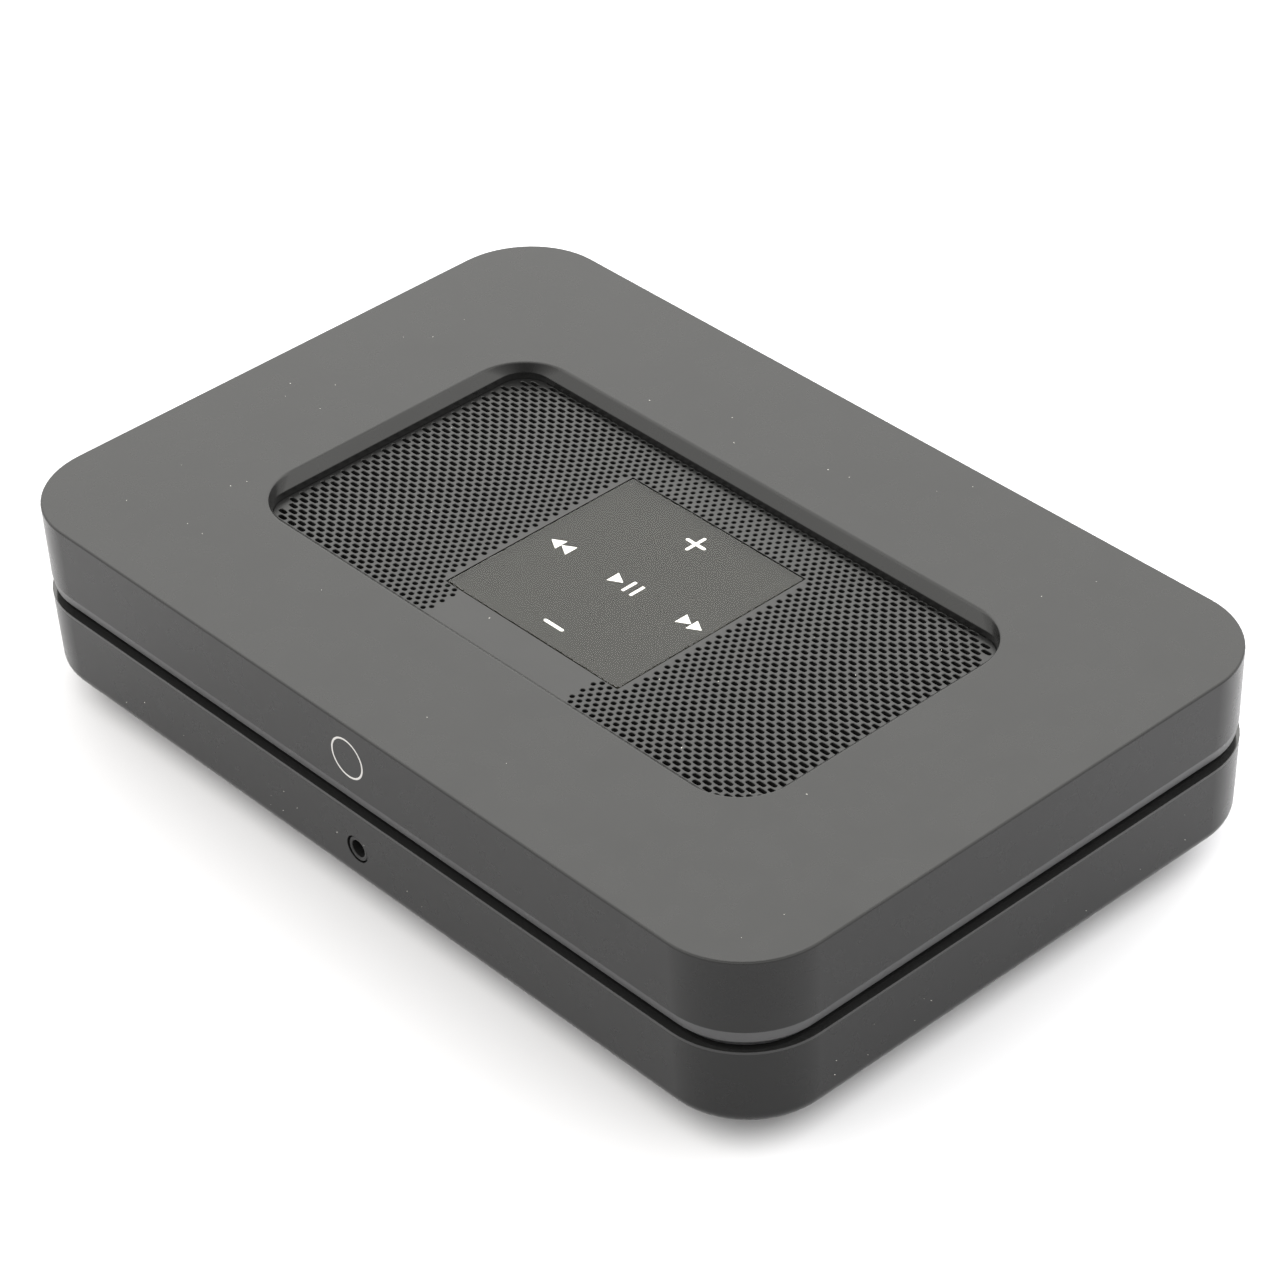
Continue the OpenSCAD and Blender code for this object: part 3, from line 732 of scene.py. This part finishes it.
def touch_symbols():
    """Plus behind, minus in front, skips left and right, play-pause in the middle."""
    bm = bmesh.new()
    z0 = FILM_Z - 0.08
    z1 = FILM_Z + 0.02
    prism(bm, bar_points(ICON_REACH), z0, z1)
    prism(bm, bar_points(ICON_REACH, upright=True), z0, z1 + 0.002)
    prism(bm, bar_points(-ICON_REACH), z0, z1)
    for side in (-1, 1):
        for step in (0, 1):
            x = ICON_REACH - ARROW_STEP + ARROW_STEP * step
            corners = [(side * x, -1.7), (side * (x + 3.0), 0), (side * x, 1.7)]
            prism(bm, soft_polygon(corners, 0.16), z0, z1)
    prism(bm, soft_polygon([(-3.8, -1.7), (-0.7, 0), (-3.8, 1.7)], 0.16), z0, z1)
    for x in (1.1, 3.4):
        corners = [(x - 0.38, -1.95), (x + 0.38, -1.95), (x + 0.38, 1.95), (x - 0.38, 1.95)]
        prism(bm, soft_polygon(corners, 0.12), z0, z1)
    return as_object("touch_symbols", bm)


# ---- front details ----

def front_y(z):
    """The front face's y at this height on the upper shell."""
    return -CASE_HALF_D + DRAFT * (CASE_H - z) / (CASE_H - UNDERCUT_Z)


def status_ring():
    """The plain ring that stands for the lit mark; it follows the front face's lean."""
    outer = ((RING_OUTER, 0.4), (RING_OUTER, -0.01), (RING_OUTER - 0.04, -0.03))
    inner = ((RING_INNER + 0.04, -0.03), (RING_INNER, -0.01), (RING_INNER, 0.4))
    profile = [(radius, lambda z, d=depth: front_y(z) + d) for radius, depth in outer + inner]
    return smooth(turned("front_ring", profile, 0.0, RING_Z, 72, closed=False))


def phones_ring():
    """Ring of the headphone socket, set a little back in its hole in the case."""
    inner = ((1.85, -69.6), (1.85, -72.05), (1.92, -72.2), (2.05, -72.27))
    outer = ((2.58, -72.27), (2.66, -72.24), (2.7, -72.1), (2.7, -69.6))
    profile = [(radius, lambda z, y=depth: y) for radius, depth in inner + outer]
    return smooth(turned("phones_ring", profile, PHONES_X, PHONES_Z, 48, closed=True))


def dust_places(rng):
    """Random places on the top and the deck, then on the lower front and right faces."""
    places = []
    while len(places) < DUST_ON_TOP:
        x = rng.uniform(-104, 104)
        y = rng.uniform(-69, 69)
        on_frame = abs(x) > RECESS_HALF_W + 2 or abs(y) > RECESS_HALF_D + 2
        on_deck = abs(x) < PLATE_HALF_W - 4 and abs(y) < PLATE_HALF_D - 4
        if on_frame or on_deck:
            places.append((x, y, CASE_H if on_frame else DECK_Z))
    for _ in range(DUST_ON_SIDES):
        places.append((rng.uniform(-85, 85), -CASE_HALF_D + 0.4, rng.uniform(10, 22)))
        places.append((CASE_HALF_W - 0.4, rng.uniform(-50, 50), rng.uniform(10, 22)))
    return places


def dust_specks():
    """A few specks of lint, flattened and stretched at random."""
    rng = random.Random(DUST_SEED)
    bm = bmesh.new()
    for x, y, z in dust_places(rng):
        size = rng.uniform(*DUST_SIZE)
        long = rng.uniform(*DUST_STRETCH)
        turn = Matrix.Rotation(rng.uniform(0, math.pi), 4, "Z")
        shape = Matrix.Diagonal((size * long, size, size * 0.6, 1.0))
        bmesh.ops.create_icosphere(bm, subdivisions=1, radius=1.0,
                                   matrix=Matrix.Translation((x, y, z)) @ turn @ shape)
    return as_object("dust_specks", bm)


# ---- carried-over pieces ----

def dress_nodes(materials):
    """Gives every CAD node that is still shown its finish and softened edges."""
    slots = {s["node"]: s["material_slot"] for s in frame["record"]["subparts"]}
    for name, obj in frame["nodes"].items():
        if name in REPLACED:
            continue
        paint(obj, materials[slots[name]])
        soften = obj.modifiers.new("soften", "BEVEL")
        soften.width = 0.12 * MM
        soften.segments = 2
        soften.limit_method = "ANGLE"
        soften.angle_limit = math.radians(50)
        soften.use_clamp_overlap = True


# ---- stage ----

def make_stage():
    """A plain pale floor."""
    bm = bmesh.new()
    bmesh.ops.create_grid(bm, x_segments=1, y_segments=1, size=3000)
    floor = as_object("floor", bm)
    material, _, shader = new_material("floor_pale")
    shader.inputs["Base Color"].default_value = FLOOR_COLOUR
    shader.inputs["Roughness"].default_value = 0.9
    shader.inputs["Specular IOR Level"].default_value = 0.1
    paint(floor, material)


def softbox(name, at, to, size, power, colour, mirrored):
    """A rectangular lamp, in metres and watts; glossy pieces show it only if mirrored."""
    data = bpy.data.lights.new(name, "AREA")
    data.shape = "RECTANGLE"
    data.size, data.size_y = size
    data.energy = power
    data.color = colour
    lamp = bpy.data.objects.new(name, data)
    lamp.location = at
    lamp.rotation_euler = (Vector(to) - Vector(at)).to_track_quat("-Z", "Y").to_euler()
    lamp.visible_glossy = mirrored
    bpy.context.scene.collection.objects.link(lamp)


def sky_colour(tree, direction):
    """Brightness of the studio's walls by height."""
    split = tree.nodes.new("ShaderNodeSeparateXYZ")
    tree.links.new(direction, split.inputs["Vector"])
    height = tree.nodes.new("ShaderNodeValToRGB")
    stops = height.color_ramp.elements
    while len(stops) < len(SKY_STOPS):
        stops.new(0.5)
    for element, (position, level) in zip(stops, SKY_STOPS):
        element.position = position
        element.color = (*[level * tint for tint in SKY_TINT], 1.0)
    tree.links.new(split.outputs["Z"], height.inputs["Fac"])
    return height.outputs["Color"]


def sky_strength(tree, direction):
    """Overall level of the studio, lower towards the front right."""
    side = tree.nodes.new("ShaderNodeVectorMath")
    side.operation = "DOT_PRODUCT"
    side.inputs[1].default_value = FRONT_RIGHT
    tree.links.new(direction, side.inputs[0])
    shade = tree.nodes.new("ShaderNodeMapRange")
    shade.inputs["From Min"].default_value = 0.1
    shade.inputs["From Max"].default_value = 0.8
    shade.inputs["To Min"].default_value = SKY_LEVEL
    shade.inputs["To Max"].default_value = SKY_LEVEL * SKY_FRONT
    tree.links.new(side.outputs["Value"], shade.inputs["Value"])
    return shade.outputs["Result"]


def make_world():
    """A white studio: brightest halfway up, dimmer at the floor, overhead and front right."""
    world = bpy.data.worlds.new("studio")
    bpy.context.scene.world = world
    world.use_nodes = True
    tree = world.node_tree
    coords = tree.nodes.new("ShaderNodeTexCoord")
    direction = coords.outputs["Generated"]
    background = tree.nodes["Background"]
    tree.links.new(sky_colour(tree, direction), background.inputs["Color"])
    tree.links.new(sky_strength(tree, direction), background.inputs["Strength"])


def make_lights():
    """A large softbox behind on the left, and two small ones for the floor round the case."""
    bpy.context.scene.view_settings.view_transform = "Standard"
    make_world()
    softbox("back_left", (-0.95, 1.05, 1.05), (0, 0, 0), (2.0, 1.5), 3.0,
            colour=(1.0, 0.998, 0.985), mirrored=True)
    softbox("behind", (0.16, 0.50, 0.26), (0.10, 0.15, 0), (0.5, 0.2), 3.4,
            colour=(1.0, 1.0, 1.0), mirrored=False)
    softbox("left", (-0.45, -0.30, 0.30), (-0.13, -0.14, 0), (0.2, 0.5), 1.1,
            colour=(1.0, 0.94, 0.86), mirrored=False)


def make_camera():
    """The photograph's viewpoint, from its angles round the target."""
    azimuth = math.radians(CAMERA_AZIMUTH)
    elevation = math.radians(CAMERA_ELEVATION)
    roll = math.radians(CAMERA_ROLL)
    back = Vector((math.sin(azimuth) * math.cos(elevation),
                   -math.cos(azimuth) * math.cos(elevation),
                   math.sin(elevation)))
    level = Vector((math.cos(azimuth), math.sin(azimuth), 0.0))
    upright = back.cross(level)
    right = math.cos(roll) * level + math.sin(roll) * upright
    up = -math.sin(roll) * level + math.cos(roll) * upright
    where = (Vector(CAMERA_TARGET) + back * CAMERA_DISTANCE) * MM
    data = bpy.data.cameras.new("camera")
    data.lens = CAMERA_LENS
    data.sensor_width = CAMERA_SENSOR
    data.clip_start = 0.01
    data.clip_end = 20.0
    camera = bpy.data.objects.new("camera", data)
    turn = Matrix((right, up, back)).transposed().to_4x4()
    camera.matrix_world = Matrix.Translation(where) @ turn
    bpy.context.scene.collection.objects.link(camera)
    bpy.context.scene.camera = camera


# ---- build ----

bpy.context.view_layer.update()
finishes = make_materials()
shell = upper_shell()
place(shell, finishes, "shell_grey", ["top_shell"])
# the slanted undercut band gets the lighter copy of the shell's finish, a painted sheen
paint_between(shell, finishes["undercut"], LIP_Z, UNDERCUT_Z)
# the lower shell gets the darker copy of the shell's finish, a painted shade
place(lower_shell(), finishes, "shell_grey", ["bottom_shell"], material="shell_low_painted_shade")
place(waist_frame(), finishes, "gloss_black", ["waist_frame"])
place(deck_plate(), finishes, "deck_grey", ["grille_plate"])
glass = touch_glass()
glass.visible_shadow = False
place(glass, finishes, "panel_gloss", ["touch_panel"])
place(touch_symbols(), finishes, "icon_white", ["touch_icons"])
place(status_ring(), finishes, "guide_grey", ["status_ring"])
place(phones_ring(), finishes, "shell_grey", ["headphone_bezel"])
place(dust_specks(), finishes, "shell_grey", material="dust")
dress_nodes(finishes)
make_stage()
make_lights()
make_camera()
